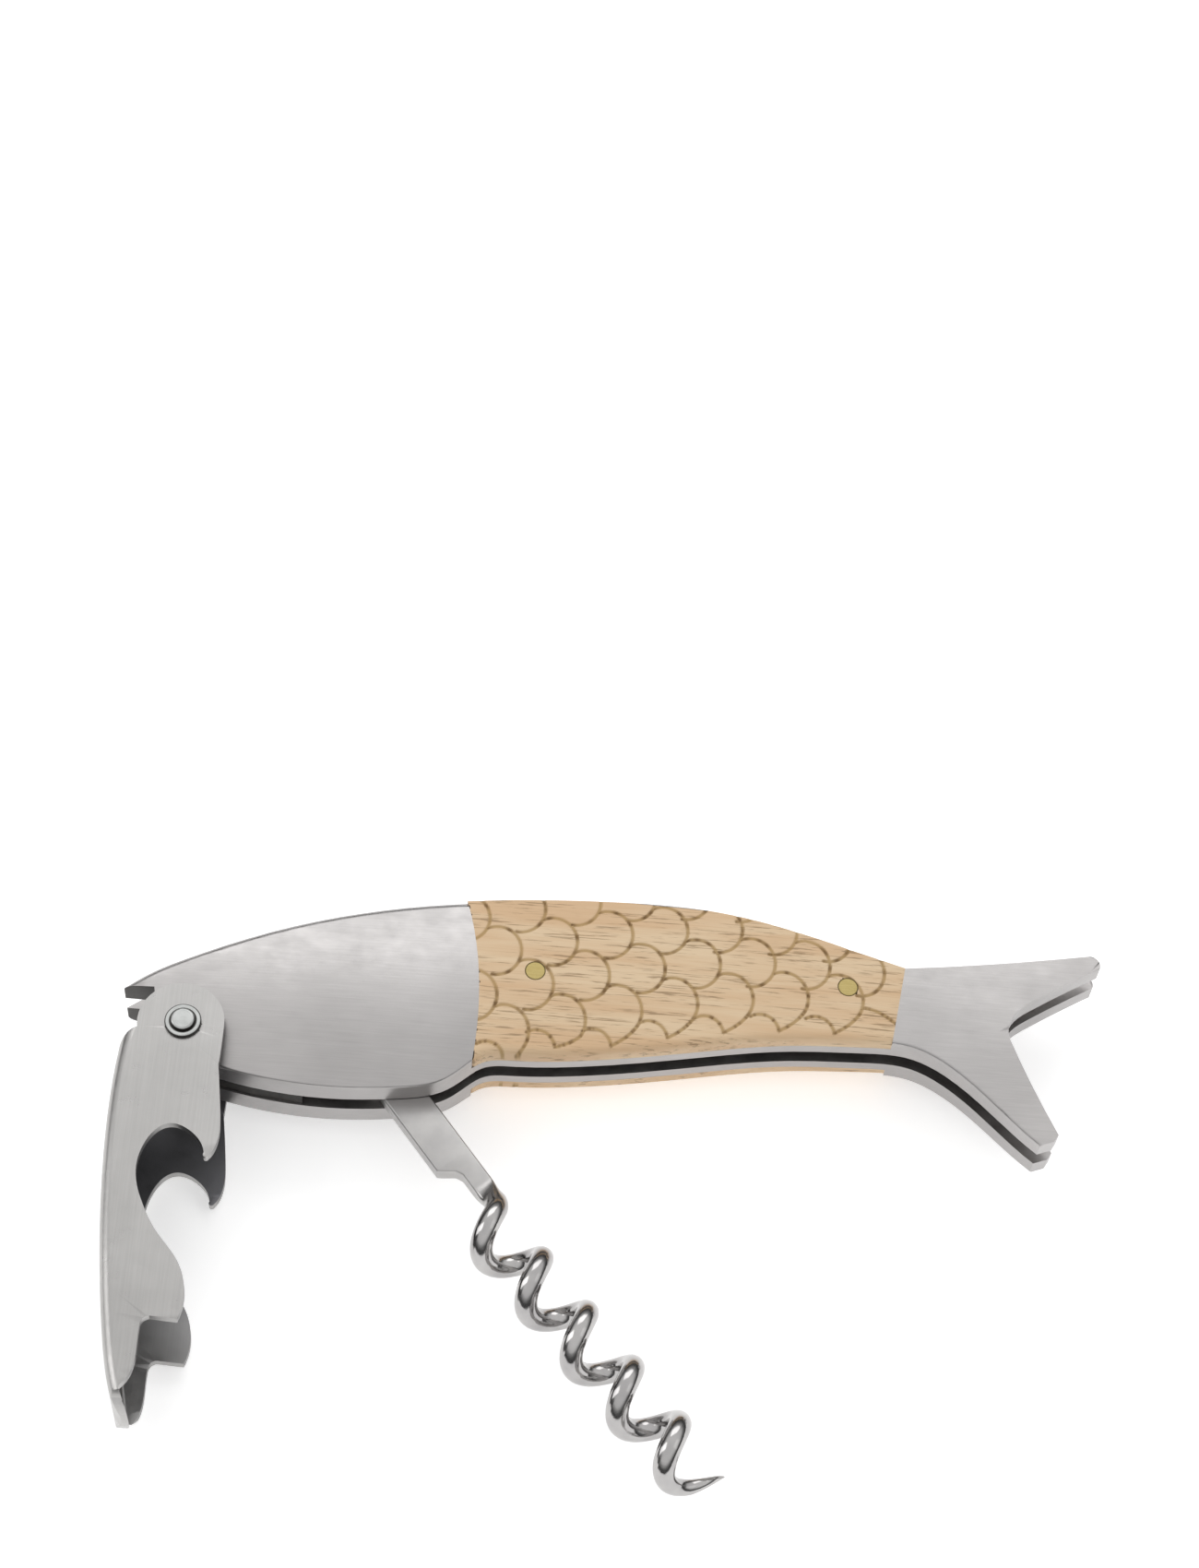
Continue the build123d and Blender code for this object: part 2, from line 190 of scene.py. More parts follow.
def painted_shade_under_nose(mat, colour, gloss):
    """Painted shade on the cut faces under the fish's nose, ahead of the pivot, on the faces that turn
    sideways and down.
    """
    place = put(mat, "ShaderNodeSeparateXYZ", {0: put(mat, "ShaderNodeTexCoord").outputs["Object"]})
    facing = put(mat, "ShaderNodeSeparateXYZ", {0: put(mat, "ShaderNodeTexCoord").outputs["Normal"]})
    ahead = remap(mat, place.outputs["X"], -2.0 * MM, -4.0 * MM)
    sideways = remap(mat, maths(mat, "ABSOLUTE", facing.outputs["Z"]), 0.75, 0.45)
    low = remap(mat, facing.outputs["Y"], 0.2, -0.2)
    amount = maths(mat, "MULTIPLY", ahead, maths(mat, "MULTIPLY", sideways, low))
    # painted shade under the nose, with a rougher gloss
    colour = mixed(mat, maths(mat, "MULTIPLY", amount, 0.85), colour, rgb(*PAINTED_SHADE_DARK))
    return colour, maths(mat, "ADD", gloss, maths(mat, "MULTIPLY", amount, 0.2))


def worm_steel():
    """Satin on the flat shank and polished on the wound wire."""
    mat, shader = new_material("worm_steel")
    shader.inputs["Metallic"].default_value = 1.0
    wire = put(mat, "ShaderNodeAttribute", attribute_name="wire").outputs["Fac"]
    clouds = noise(mat, (0.25, 0.25, 0.25), 3.0)
    fine = noise(mat, (2.2, 2.2, 2.2), 3.0, 0.6)
    shank = mixed(mat, remap(mat, clouds, 0.35, 0.65), rgb(0.40, 0.39, 0.385), rgb(0.46, 0.45, 0.44))
    polished = mixed(mat, remap(mat, clouds, 0.3, 0.7), rgb(0.38, 0.37, 0.37), rgb(0.50, 0.49, 0.48))
    gloss_shank = remap(mat, fine, 0.3, 0.7, 0.30, 0.40)
    gloss_wire = remap(mat, fine, 0.3, 0.7, 0.10, 0.17)
    gloss = put(mat, "ShaderNodeMix", {0: wire, 2: gloss_shank, 3: gloss_wire}).outputs[0]
    normal = bump(mat, fine, 0.008)
    colour = mixed(mat, wire, shank, polished)
    fill(mat, shader, {"Base Color": colour, "Roughness": gloss, "Normal": normal})
    return mat


def inner_steel():
    """Dull steel painted nearly black as painted shade, for the pieces that are hidden between the side
    plates.
    """
    mat, shader = new_material("inner_steel")
    shader.inputs["Metallic"].default_value = 0.9
    spots = noise(mat, (0.8, 0.8, 0.8), 5.0, 0.65)
    # nearly black colours with random spots: painted shade between the side plates
    colour = mixed(mat, remap(mat, spots, 0.4, 0.65), rgb(0.030, 0.029, 0.028), rgb(0.075, 0.070, 0.065))
    gloss = remap(mat, spots, 0.3, 0.7, 0.45, 0.65)
    fill(mat, shader, {"Base Color": colour, "Roughness": gloss, "Normal": bump(mat, spots, 0.03)})
    return mat


def pivot_steel():
    """Turned steel with fine rings about the pivot axis, painted shade in a ring at the groove and painted
    shade on everything farther than 2.3 mm from the axis.
    """
    mat, shader = new_material("pin_steel")
    shader.inputs["Metallic"].default_value = 1.0
    place = put(mat, "ShaderNodeTexCoord").outputs["Object"]
    radius = distance_from_z(mat, place)
    rings = maths(mat, "SINE", maths(mat, "MULTIPLY", radius, TURNED_RINGS / MM))
    clouds = noise(mat, (0.6, 0.6, 0.6), 3.0)
    colour = mixed(mat, remap(mat, clouds, 0.35, 0.65), rgb(0.40, 0.41, 0.40), rgb(0.50, 0.51, 0.50))
    # painted shade in the groove ring
    groove_painted_shade = maths(mat, "MULTIPLY", remap(mat, radius, 1.48 * MM, 1.56 * MM),
                   remap(mat, radius, 1.88 * MM, 1.78 * MM))
    # painted shade farther than 2.3 mm from the axis, such as on the washers' rims
    outside_painted_shade = remap(mat, radius, 2.20 * MM, 2.32 * MM)
    colour = mixed(mat, maths(mat, "MAXIMUM", groove_painted_shade, outside_painted_shade), colour, rgb(0.050, 0.048, 0.045))
    gloss = remap(mat, clouds, 0.3, 0.7, 0.28, 0.40)
    fill(mat, shader, {"Base Color": colour, "Roughness": gloss, "Normal": bump(mat, rings, 0.002)})
    return mat


def brass(name, centre):
    """Dull ground brass with a tarnished ring at its rim."""
    mat, shader = new_material(name)
    shader.inputs["Metallic"].default_value = 0.75
    place = put(mat, "ShaderNodeTexCoord").outputs["Object"]
    middle = (centre.x, centre.y, 0.0)
    across = put(mat, "ShaderNodeVectorMath", {0: place, 1: middle}, operation="SUBTRACT").outputs[0]
    radius = distance_from_z(mat, across)
    scratches = noise(mat, (0.8, 7.0, 1.0), 3.0, 0.6)
    colour = mixed(mat, remap(mat, scratches, 0.35, 0.65), rgb(0.40, 0.31, 0.115), rgb(0.50, 0.40, 0.165))
    colour = mixed(mat, remap(mat, radius, 1.20 * MM, 1.30 * MM), colour, rgb(0.085, 0.060, 0.02))
    gloss = remap(mat, scratches, 0.3, 0.7, 0.38, 0.52)
    fill(mat, shader, {"Base Color": colour, "Roughness": gloss, "Normal": bump(mat, scratches, 0.006)})
    return mat


def wood_material():
    """Pale oiled wood: long grain, short brown flecks, and burnt engraving where burn is high."""
    mat, shader = new_material("engraved_wood")
    figure = noise(mat, (0.035, 0.45, 0.3), 3.0, 0.55)
    streaks = noise(mat, (0.07, 6.5, 2.0), 4.0, 0.6)
    flecks = noise(mat, (0.17, 4.2, 2.2), 3.0, 0.6)
    patches = noise(mat, (0.13, 0.35, 0.3), 2.0)
    burn = put(mat, "ShaderNodeAttribute", attribute_name="burn").outputs["Fac"]
    scorch = put(mat, "ShaderNodeAttribute", attribute_name="scorch").outputs["Fac"]
    colour = mixed(mat, remap(mat, figure, 0.36, 0.64), rgb(0.655, 0.450, 0.268), rgb(0.720, 0.550, 0.360))
    colour = mixed(mat, remap(mat, streaks, 0.50, 0.75, 0.0, 0.45), colour, rgb(0.53, 0.35, 0.19))
    mark = remap(mat, flecks, 0.555, 0.645, 0.0, 0.80, smooth=True)
    mark = maths(mat, "MULTIPLY", mark, remap(mat, patches, 0.36, 0.54, smooth=True))
    colour = mixed(mat, mark, colour, rgb(0.30, 0.195, 0.105))
    colour = mixed(mat, maths(mat, "MULTIPLY", burn, 0.72), colour, rgb(0.345, 0.215, 0.072))
    colour = mixed(mat, maths(mat, "MULTIPLY", burn, scorch), colour, rgb(0.125, 0.062, 0.018))
    gloss = maths(mat, "ADD", remap(mat, streaks, 0.3, 0.7, 0.46, 0.58), maths(mat, "MULTIPLY", burn, 0.2))
    grain = maths(mat, "SUBTRACT", maths(mat, "MULTIPLY", streaks, 0.35), mark)
    fill(mat, shader, {"Base Color": colour, "Roughness": gloss, "Normal": bump(mat, grain, 0.02)})
    shader.inputs["Specular IOR Level"].default_value = 0.35
    return mat


# --- mesh helpers --------------------------------------------------------------------
def new_piece(name, points, faces, mat):
    mesh = bpy.data.meshes.new(name)
    mesh.from_pydata([tuple(point) for point in points], [], faces)
    mesh.materials.append(mat)
    piece = bpy.data.objects.new(name, mesh)
    bpy.context.scene.collection.objects.link(piece)
    return piece


def drilled(piece, place, radius):
    """Cuts a round hole along Z through a closed mesh."""
    bpy.ops.mesh.primitive_cylinder_add(vertices=64, radius=radius, depth=60 * MM, location=place)
    drill = bpy.context.object
    cut = piece.modifiers.new("drill", "BOOLEAN")
    cut.operation = "DIFFERENCE"
    cut.solver = "EXACT"
    cut.object = drill
    seen = piece.evaluated_get(bpy.context.evaluated_depsgraph_get())
    mesh = bpy.data.meshes.new_from_object(seen)
    piece.modifiers.clear()
    piece.data = mesh
    bpy.data.objects.remove(drill)


def smooth_shaded(piece, sharp_degrees):
    mesh = piece.data
    mesh.polygons.foreach_set("use_smooth", [True] * len(mesh.polygons))
    mesh.set_sharp_from_angle(angle=math.radians(sharp_degrees))


def softened(piece, width_mm, sharp_degrees=30):
    """Small rounded edges on a CAD node, so that they catch the light."""
    weld = piece.modifiers.new("weld", "WELD")
    weld.merge_threshold = 0.001 * MM
    bevel = piece.modifiers.new("soft_edges", "BEVEL")
    bevel.width = width_mm * MM
    bevel.segments = 2
    bevel.limit_method = "ANGLE"
    bevel.angle_limit = math.radians(sharp_degrees)
    normals = piece.modifiers.new("even_shading", "WEIGHTED_NORMAL")
    normals.keep_sharp = False


# --- engraved wood -------------------------------------------------------------------
SCALE_HALF_LENGTH = 3.33       # half the length and half the height of one fish scale
SCALE_HALF_HEIGHT = 3.75
SCALE_PITCH = 7.42             # from scale to scale along a row
ROW_STEP = Vector((4.55, -4.87))
FIRST_SCALE = Vector((37.4, 7.9))
ROW_RISE = (0.2925, -0.00054, -0.0000405)      # the rows curve up, then down, with the fish
SCALES_IN_ROW = {-2: (1, 7), -1: (1, 8), 0: (0, 9), 1: (0, 7)}
ARC_FROM, ARC_TO = -97, 116    # degrees of each scale's line, from its lower end to its top
EDGE_ARC_FROM = -33            # the lowest full row runs straight to a cusp from here
CUSP = Vector((-0.5, -5.0))    # from the middle of a scale in the lowest full row
CUSP_SHIFT = {0: Vector((0.9, 1.2)), 1: Vector((0.0, 1.2))}      # the first two sit higher
TAIL_LINE = (Vector((89.7, 10.5)), Vector((92.0, 10.4)), Vector((94.2, 8.5)))
FRILL_HALF_LENGTH = 2.6        # the quarter scales that hang below the lowest full row
FRILL_HALF_HEIGHT = 2.9
FRILL_ARC = (14, 122)          # degrees, from its cusp up to its top
GROOVE_HALF_WIDTH = 0.13
GROOVE_FADE = 0.20
GROOVE_DEPTH = 0.11
RIM_WIDTH = 1.3                # rounded strip along the back and the belly
PIN_HOLE_R = 1.4
COLUMNS = 350                  # cells of the wood's face, from head to tail
MIDDLE_CELLS = 128             # from belly to back, between the rounded strips
RIM_CELLS = 9                  # over each rounded strip
FACING_LIMIT = (0.9, 0.6)      # how squarely an end wall (X) or a long wall (Y) meets its rays
SPOTS_PER_LINE = 5             # scorched spots along one line, besides its two ends
SPOT_LENGTH = 0.04             # half length of a scorched spot, as a share of its line


def row_height(x):
    along = x - FIRST_SCALE.x
    return sum(rise * along ** (power + 1) for power, rise in enumerate(ROW_RISE))


def scale_middle(row, index):
    x = FIRST_SCALE.x + SCALE_PITCH * index
    return Vector((x, FIRST_SCALE.y + row_height(x))) + ROW_STEP * row


def on_ellipse(middle, half_length, half_height, degrees):
    angle = math.radians(degrees)
    return middle + Vector((half_length * math.cos(angle), half_height * math.sin(angle)))


def arc_points(middle, half_length, half_height, start, stop):
    for degrees in np.arange(start, stop, 0.8):
        yield on_ellipse(middle, half_length, half_height, degrees)


def curve_points(start, bend, stop):
    """A quadratic curve from start to stop, pulled towards bend."""
    for part in np.linspace(0, 1, 110):
        yield start * (1 - part) ** 2 + bend * 2 * part * (1 - part) + stop * part ** 2


def engraved_lines():
    """All lines of the scale pattern, each a list of points in millimetres."""
    lines = []
    for row, (first, last) in SCALES_IN_ROW.items():
        for index in range(first, last):
            middle = scale_middle(row, index)
            start = EDGE_ARC_FROM if row == 1 else ARC_FROM
            lines.append(list(arc_points(middle, SCALE_HALF_LENGTH, SCALE_HALF_HEIGHT, start, ARC_TO)))
    for index in range(*SCALES_IN_ROW[1]):
        middle = scale_middle(1, index)
        shoulder = on_ellipse(middle, SCALE_HALF_LENGTH, SCALE_HALF_HEIGHT, EDGE_ARC_FROM)
        cusp = middle + CUSP + CUSP_SHIFT.get(index, Vector((0.0, 0.0)))
        bend = (shoulder + cusp) / 2 + Vector((0.5, -0.35))
        lines.append(list(curve_points(shoulder, bend, cusp)))
        centre = cusp - Vector((FRILL_HALF_LENGTH * 0.97, FRILL_HALF_HEIGHT * 0.25))
        lines.append(list(arc_points(centre, FRILL_HALF_LENGTH, FRILL_HALF_HEIGHT, *FRILL_ARC)))
    lines.append(list(curve_points(*TAIL_LINE)))
    return lines


def line_finder(lines, rng):
    """A tree of points along the lines, and how strongly each point is scorched."""
    spots = []
    for line in lines:
        peaks = [(rng.random(), rng.uniform(0.35, 0.9)) for _ in range(SPOTS_PER_LINE)]
        ends = [(0.0, 0.5), (1.0, 0.6)]
        for number, point in enumerate(line):
            part = number / len(line)
            scorch = max(peak * math.exp(-((part - at) / SPOT_LENGTH) ** 2) for at, peak in peaks + ends)
            spots.append((point, scorch))
    tree = KDTree(len(spots))
    for number, (point, _) in enumerate(spots):
        tree.insert((point.x, point.y, 0.0), number)
    tree.balance()
    return tree, [scorch for _, scorch in spots]


def wall_curve(tree, values, ray):
    """Where level rays meet a wall that faces them: (values, hits)."""
    kept = []
    for value in values:
        origin, direction, axis = ray(value)
        hit, normal, _, _ = tree.ray_cast(origin, direction)
        if hit is not None and abs(normal[axis]) > FACING_LIMIT[axis]:
            kept.append((value, hit[axis]))
    return np.array(kept).T


def wood_grid(tree, wall_z):
    """Rows of (x, y) over the wood's face, finer at the rounded strips."""
    far = 0.2
    xs = np.arange(30, 100, 0.5) * MM
    ys = np.arange(-8, 26, 0.25) * MM
    belly = wall_curve(tree, xs, lambda x: (Vector((x, -far, wall_z)), Vector((0, 1, 0)), 1))
    back = wall_curve(tree, xs, lambda x: (Vector((x, far, wall_z)), Vector((0, -1, 0)), 1))
    head = wall_curve(tree, ys, lambda y: (Vector((-far, y, wall_z)), Vector((1, 0, 0)), 0))
    tail = wall_curve(tree, ys, lambda y: (Vector((far, y, wall_z)), Vector((-1, 0, 0)), 0))
    grid = []
    for s in np.linspace(0, 1, COLUMNS + 1):
        low, high = spread_ends(s, belly, back, head, tail)
        width = high - low
        rim = RIM_WIDTH * MM / width
        curved = rim * (1 - np.cos(np.linspace(0, math.pi / 2, RIM_CELLS + 1)))
        flat = np.linspace(rim, 1 - rim, MIDDLE_CELLS + 1)
        parts = np.concatenate([curved[:-1], flat, 1 - curved[-2::-1]])
        grid.append([place_on_face(s, part, belly, back, head, tail) for part in parts])
    return grid


def spread_ends(s, belly, back, head, tail):
    """Heights y of the belly and of the back at a share s of the way from head to tail."""
    low = place_on_face(s, 0.0, belly, back, head, tail)
    high = place_on_face(s, 1.0, belly, back, head, tail)
    return low[1], high[1]


def place_on_face(s, part, belly, back, head, tail):
    """(x, y) at a share s of the way from head to tail and a share part from belly to back."""
    y = 10 * MM
    for _ in range(5):
        x = (1 - s) * np.interp(y, *head) + s * np.interp(y, *tail)
        y = (1 - part) * np.interp(x, *belly) + part * np.interp(x, *back)
    return x, y


def closed_wood(name, mat):
    """A closed shell over the CAD wood scale: its crowned top, its walls and a flat bottom."""
    solid = nodes["wood_scale_near"]
    tree = BVHTree.FromObject(solid, bpy.context.evaluated_depsgraph_get())
    low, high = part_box("wood_scale_near")
    grid = wood_grid(tree, low.z + 0.5 * MM)
    columns, rows = len(grid), len(grid[0])
    middle = Vector(((low.x + high.x) / 2, (low.y + high.y) / 2, 0))
    points = []
    for column in grid:
        for x, y in column:
            inward = (middle - Vector((x, y, 0))).normalized() * 0.004 * MM
            hit = tree.ray_cast(Vector((x + inward.x, y + inward.y, 0.05)), Vector((0, 0, -1)))[0]
            height = hit.z if hit is not None and hit.z > low.z + 0.2 * MM else None
            points.append([x, y, height])
    fill_missing_heights(points, columns, rows)
    faces = []
    for i in range(columns - 1):
        for j in range(rows - 1):
            first = i * rows + j
            faces.append((first, first + rows, first + rows + 1, first + 1))
    add_walls_and_bottom(points, faces, columns, rows, low.z)
    return new_piece(name, points, faces, mat)


def fill_missing_heights(points, columns, rows):
    """A ray down a drilled hole or past an edge misses the face: its neighbours say the height."""
    for i in range(columns):
        column = points[i * rows:(i + 1) * rows]
        known = [j for j in range(rows) if column[j][2] is not None]
        heights = [column[j][2] for j in known]
        for j in range(rows):
            if column[j][2] is None:
                column[j][2] = float(np.interp(j, known, heights))


def add_walls_and_bottom(points, faces, columns, rows, bottom):
    belly_side = [i * rows for i in range(columns)]
    tail_side = [(columns - 1) * rows + j for j in range(1, rows)]
    back_side = [i * rows + rows - 1 for i in range(columns - 2, -1, -1)]
    head_side = [j for j in range(rows - 2, 0, -1)]
    loop = belly_side + tail_side + back_side + head_side
    under = {}
    for index in loop:
        under[index] = len(points)
        points.append([points[index][0], points[index][1], bottom])
    for first, second in zip(loop, loop[1:] + loop[:1]):
        faces.append((first, under[first], under[second], second))
    faces.append(tuple(under[index] for index in reversed(loop)))


def engrave(piece, tree, scorches):
    """Sinks the lines into the top face and stores how burnt each vertex is."""
    mesh = piece.data
    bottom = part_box("wood_scale_near")[0].z
    count = len(mesh.vertices)
    burns, darks = np.zeros(count), np.zeros(count)
    for vertex in mesh.vertices:
        if vertex.co.z < bottom + 0.3 * MM:
            continue
        _, number, away = tree.find((vertex.co.x / MM, vertex.co.y / MM, 0.0))
        share = 1.0 - min(max((away - GROOVE_HALF_WIDTH) / GROOVE_FADE, 0.0), 1.0)
        share = share * share * (3 - 2 * share)
        burns[vertex.index] = share
        darks[vertex.index] = scorches[number]
        vertex.co.z -= share * GROOVE_DEPTH * (0.6 + 0.7 * scorches[number]) * MM
    for name, values in (("burn", burns), ("scorch", darks)):
        layer = mesh.attributes.new(name, "FLOAT", "POINT")
        layer.data.foreach_set("value", values)


def make_wood():
    mat = wood_material()
    near = closed_wood("engraved_wood_near", mat)
    for name in ("brass_pin_front", "brass_pin_rear"):
        low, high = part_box(name)
        drilled(near, ((low.x + high.x) / 2, (low.y + high.y) / 2, Z_MIDDLE), PIN_HOLE_R * MM)
    tree, scorches = line_finder(engraved_lines(), random.Random(5))
    engrave(near, tree, scorches)
    smooth_shaded(near, 50)
    mirrored = near.data.copy()
    mirrored.transform(Matrix.Translation((0, 0, 2 * Z_MIDDLE)) @ Matrix.Scale(-1, 4, (0, 0, 1)))
    mirrored.flip_normals()
    far = bpy.data.objects.new("engraved_wood_far", mirrored)
    bpy.context.scene.collection.objects.link(far)
    for piece, node in ((near, "wood_scale_near"), (far, "wood_scale_far")):
        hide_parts(node)
        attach(piece, "handle")


# --- worm ----------------------------------------------------------------------------
SHANK_ANGLE = math.radians(-51.5)
COIL_ANGLE = math.radians(-48.6)
TANG_R = 3.0
SHANK_LOW, SHANK_HIGH = -2.5, 2.85
SHANK_HALF_T = 1.25
NECK_LOW = ((15.8, SHANK_LOW), (16.3, -1.85), (17.2, -0.5), (18.4, 0.1), (22.3, 0.9))
NECK_END = 20.6
COIL_START = (23.8, -1.4)
COIL_R = 2.95
WIRE_R = 1.5
PITCH = 9.33
JOIN_TURN = 0.15               # the neck has become the coil here
FULL_TURNS = 4.4
POINT = ((0.0, WIRE_R, 0.0), (0.33, 1.0, 0.1), (0.6, 0.12, -0.2))
TANG_HOLE_R = 1.55
EDGE_R = 0.28
CORNER_STEPS = 8
CORNER_SHARE = 0.999           # each corner stops just short, so that no two points coincide
SECTIONS_PER_TURN = 44


def direction(angle):
    return Vector((math.cos(angle), math.sin(angle), 0))


def sideways(angle):
    return Vector((-math.sin(angle), math.cos(angle), 0))


def shank_place(along, aside):
    return direction(SHANK_ANGLE) * along + sideways(SHANK_ANGLE) * aside


def coil_station(turn, lead=0.0):
    """Middle of the wire, its heading and its outward direction at one turn of the coil."""
    angle = 2 * math.pi * turn
    axis, side, up = direction(COIL_ANGLE), sideways(COIL_ANGLE), Vector((0, 0, 1))
    outward = side * math.cos(angle) + up * math.sin(angle)
    onward = up * math.cos(angle) - side * math.sin(angle)
    middle = shank_place(*COIL_START) + axis * (PITCH * turn + lead) + outward * COIL_R
    heading = (onward * COIL_R + axis * (PITCH / (2 * math.pi))).normalized()
    return middle, heading, outward


def shank_sections():
    """Rounded rectangles from the tang's end to the neck: (middle, heading, side, half sizes, edge)."""
    alongs = list(-TANG_R * np.cos(np.linspace(0.03, math.pi / 2, 16)))
    alongs += list(TANG_R * np.sin(np.linspace(0, 0.585, 8)))[1:]
    alongs += list(np.linspace(2.2, 15.6, 12)) + list(np.linspace(15.8, NECK_END, 28))
    for along in alongs:
        disc = math.sqrt(max(TANG_R ** 2 - along ** 2, 0)) if abs(along) < TANG_R else 0
        if along < 0:
            low, high = -disc, disc
        else:
            low = min(-disc, float(np.interp(along, *zip(*NECK_LOW))))
            high = max(disc, SHANK_HIGH)
        if along < 0 and disc < 0.3:
            edge = disc * 0.9
        else:
            edge = EDGE_R
        yield (shank_place(along, (low + high) / 2), direction(SHANK_ANGLE), sideways(SHANK_ANGLE),
               (high - low) / 2, SHANK_HALF_T, edge, 0.0)


def neck_sections():
    """From the flat neck, in one smooth bend, into the round wire."""
    last = list(shank_sections())[-1]
    start, heading, side, half_w = last[0], last[1], last[2], last[3]
    end, end_heading, end_side = coil_station(JOIN_TURN)
    pull = (end - start).length
    for part in np.linspace(0, 1, 20)[1:-1]:
        a, b = 1 - part, part
        middle = (start * (a * a * (1 + 2 * b)) + end * (b * b * (1 + 2 * a))
                  + heading * (pull * a * a * b) - end_heading * (pull * a * b * b))
        slope = (start * (-6 * a * b) + end * (6 * a * b)
                 + heading * (pull * (a * a - 2 * a * b)) + end_heading * (pull * (b * b - 2 * a * b)))
        smooth = b * b * (3 - 2 * b)
        yield (middle, slope.normalized(), side.lerp(end_side, smooth),
               half_w + (WIRE_R - half_w) * smooth, SHANK_HALF_T + (WIRE_R - SHANK_HALF_T) * smooth,
               EDGE_R + (WIRE_R - EDGE_R) * smooth, smooth)


def coil_sections():
    for turn in np.arange(JOIN_TURN, FULL_TURNS, 1 / SECTIONS_PER_TURN):
        middle, heading, outward = coil_station(turn)
        yield middle, heading, outward, WIRE_R, WIRE_R, WIRE_R, 1.0
    turns, radii, leads = zip(*POINT)
    for past in np.linspace(0, turns[-1], 30):
        lead = float(np.interp(past, turns, leads))
        radius = float(np.interp(past, turns, radii))
        middle, heading, outward = coil_station(FULL_TURNS + past, lead)
        yield middle, heading, outward, radius, radius, radius, 1.0


def section_points(middle, heading, side, half_w, half_t, edge):
    """A rounded rectangle across the heading; it is a circle when all three sizes agree."""
    side = (side - heading * side.dot(heading)).normalized()
    up = heading.cross(side)
    edge = min(edge, half_w, half_t)
    for corner in range(4):
        across = (1, -1, -1, 1)[corner] * (half_w - edge)
        rise = (1, 1, -1, -1)[corner] * (half_t - edge)
        for step in range(CORNER_STEPS):
            angle = math.pi / 2 * (corner + step / (CORNER_STEPS - 1) * CORNER_SHARE)
            yield (middle + side * (across + edge * math.cos(angle)) + up * (rise + edge * math.sin(angle)))


def make_worm():
    sections = list(shank_sections()) + list(neck_sections()) + list(coil_sections())
    around = 4 * CORNER_STEPS
    points, wires = [], []
    for middle, heading, side, half_w, half_t, edge, wire in sections:
        ring = section_points(middle, heading, side, half_w, half_t, edge)
        points += [(WORM_PIVOT + point * MM) for point in ring]
        wires += [wire] * around
    faces = []
    for ring in range(len(sections) - 1):
        for step in range(around):
            following = (step + 1) % around
            first, second = ring * around, (ring + 1) * around
            faces.append((first + step, first + following, second + following, second + step))
    faces.append(tuple(range(around - 1, -1, -1)))
    faces.append(tuple((len(sections) - 1) * around + step for step in range(around)))
    piece = new_piece("worm_and_shank", points, faces, worm_steel())
    layer = piece.data.attributes.new("wire", "FLOAT", "POINT")
    layer.data.foreach_set("value", wires)
    drilled(piece, WORM_PIVOT, TANG_HOLE_R * MM)
    smooth_shaded(piece, 40)
    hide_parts("worm")
    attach(piece, "worm_body")


# --- CAD nodes that stay -------------------------------------------------------------
def dress_cad_nodes():
    painted(steel("plate_steel", (0.445, 0.430, 0.424), 0.33, (0.12, 5.0, 5.0), painted_shade_under_nose),
            "side_plate_near", "side_plate_far")
    painted(steel("lever_steel", (0.440, 0.432, 0.422), 0.31, (4.5, 0.10, 4.5), painted_shade_inside_lever), "lever")
    painted(pivot_steel(), "lever_pivot_pin", "inner_washer_near", "inner_washer_far",
            "outer_washer_near", "outer_washer_far", "head_dowel", "tail_dowel", "worm_pivot_pin")
    painted(inner_steel(), "back_spring", "head_spacer", "tail_spacer")
    for name in ("brass_pin_front", "brass_pin_rear"):
        low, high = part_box(name)
        painted(brass(name, (low + high) / 2), name)
    for name in ("side_plate_near", "side_plate_far"):
        softened(nodes[name], 0.14)
    softened(nodes["lever"], 0.12)


# --- stage, camera and light ---------------------------------------------------------
CAMERA_AT = Vector((43.8, -192.9, 396.3)) * MM
CAMERA_AIM = Vector((52.9, 46.0, 9.2)) * MM
CAMERA_LENS = 74.1
CAMERA_ROLL = math.radians(5.84)


def make_camera():
    data = bpy.data.cameras.new("camera")
    data.lens = CAMERA_LENS
    data.clip_start = 0.01
    camera = bpy.data.objects.new("camera", data)
    bpy.context.scene.collection.objects.link(camera)
    turn = (CAMERA_AIM - CAMERA_AT).to_track_quat("-Z", "Y").to_matrix().to_4x4()
    camera.matrix_world = Matrix.Translation(CAMERA_AT) @ turn @ Matrix.Rotation(CAMERA_ROLL, 4, "Z")
    bpy.context.scene.camera = camera


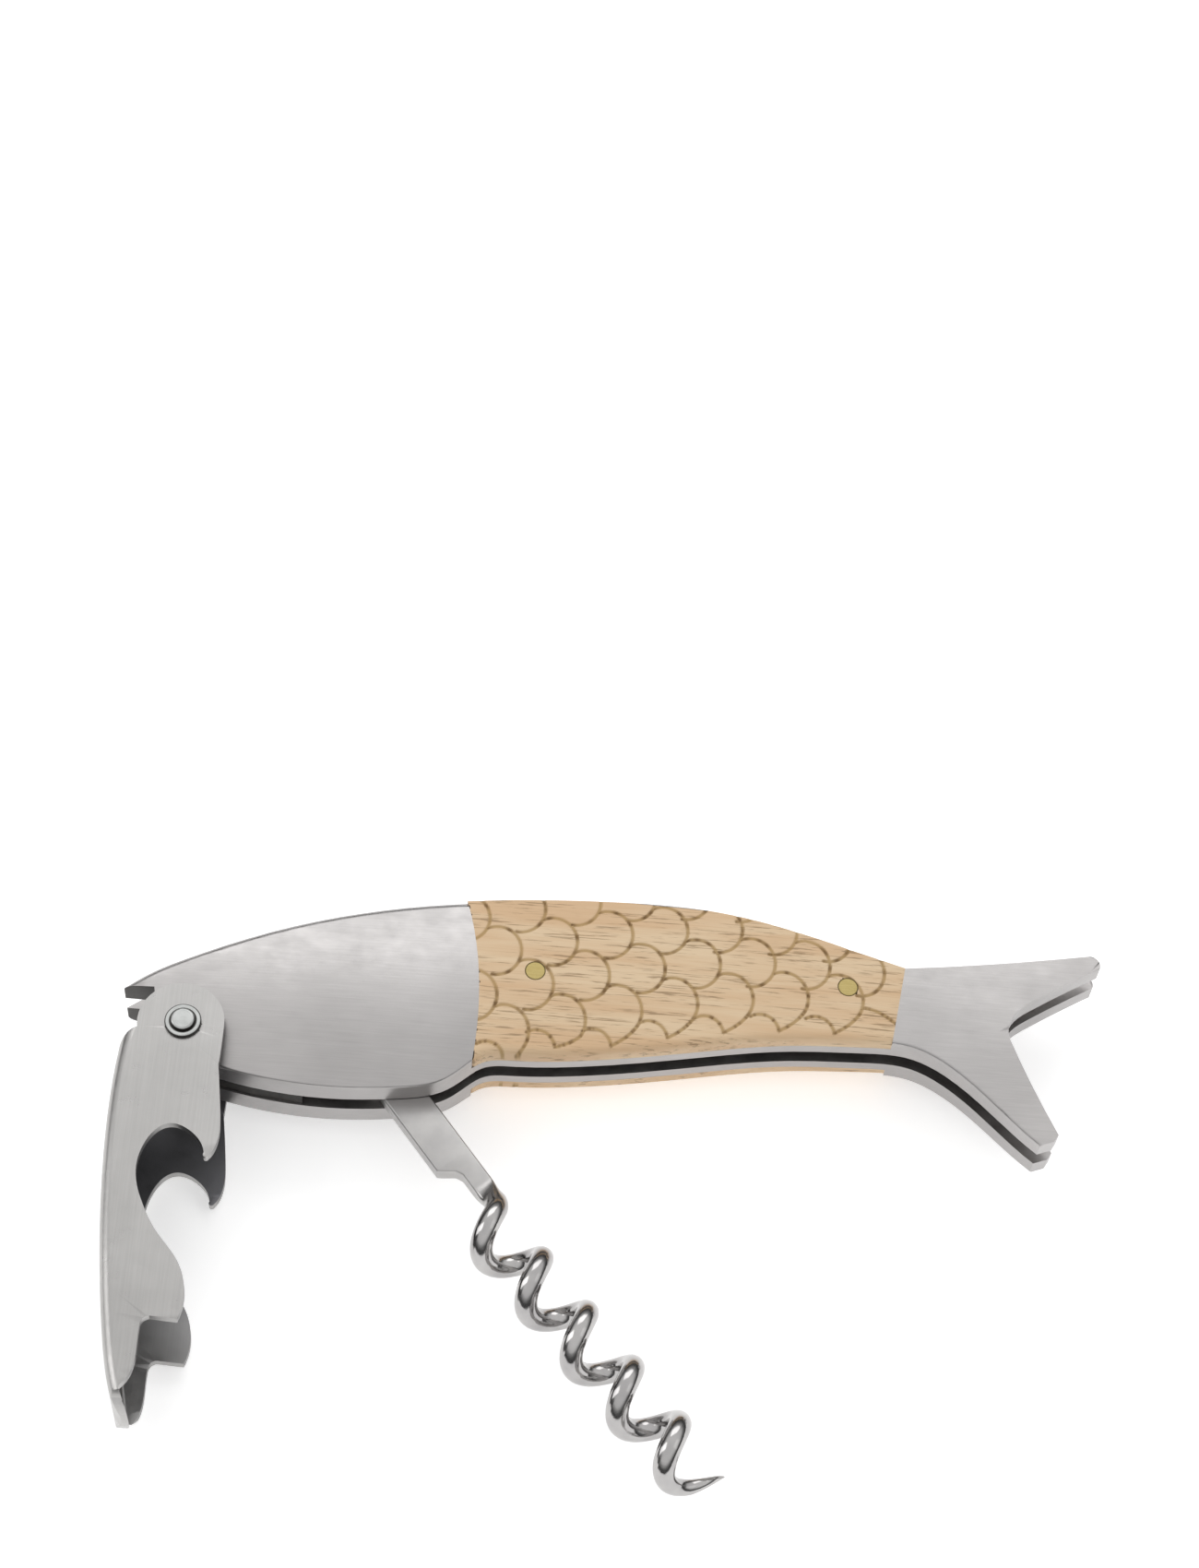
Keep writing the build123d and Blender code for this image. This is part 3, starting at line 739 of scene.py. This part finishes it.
def make_floor():
    reach, low = 3.0, -0.0002
    corners = [(-reach, -reach, low), (reach, -reach, low), (reach, reach, low), (-reach, reach, low)]
    mat, shader = new_material("floor_pale")
    shader.inputs["Base Color"].default_value = rgb(0.95, 0.95, 0.95)
    shader.inputs["Roughness"].default_value = 0.8
    shader.inputs["Specular IOR Level"].default_value = 0.1
    shader.inputs["Emission Color"].default_value = rgb(1.0, 1.0, 1.0)
    shader.inputs["Emission Strength"].default_value = 0.42
    new_piece("floor", corners, [(0, 1, 2, 3)], mat)


def soft_box(name, place, aim, width, depth, watts):
    data = bpy.data.lights.new(name, "AREA")
    data.shape = "RECTANGLE"
    data.size = width
    data.size_y = depth
    data.energy = watts
    lamp = bpy.data.objects.new(name, data)
    bpy.context.scene.collection.objects.link(lamp)
    lamp.location = place
    lamp.rotation_euler = (Vector(aim) - Vector(place)).to_track_quat("-Z", "Y").to_euler()


def make_world():
    """A studio that is white overhead and grey towards the horizon."""
    world = bpy.data.worlds.new("studio")
    bpy.context.scene.world = world
    world.use_nodes = True
    around = put(world, "ShaderNodeTexCoord").outputs["Generated"]
    height = put(world, "ShaderNodeSeparateXYZ", {0: around}).outputs["Z"]
    ramp = put(world, "ShaderNodeValToRGB", {"Fac": height})
    stops = ramp.color_ramp.elements
    stops[0].position, stops[0].color = 0.0, rgb(0.07, 0.07, 0.07)
    stops[1].position, stops[1].color = 1.0, rgb(1.0, 1.0, 1.0)
    for position, grey in ((0.20, 0.10), (0.36, 0.32), (0.54, 0.88), (0.75, 1.0)):
        stops.new(position).color = rgb(grey, grey, grey)
    background = world.node_tree.nodes["Background"]
    fill(world, background, {"Color": ramp.outputs["Color"], "Strength": 0.95})


def make_lights():
    middle = (0.055, 0.0, 0.0)
    soft_box("back_box", (0.02, 0.75, 0.80), middle, 0.9, 0.5, 1.9)
    soft_box("left_box", (-0.9, 0.1, 0.55), middle, 0.4, 0.9, 1.9)
    soft_box("right_box", (1.0, -0.2, 0.8), middle, 0.5, 0.9, 0.3)


make_wood()
make_worm()
dress_cad_nodes()
bpy.context.scene.view_settings.view_transform = "Standard"
make_camera()
make_floor()
make_world()
make_lights()
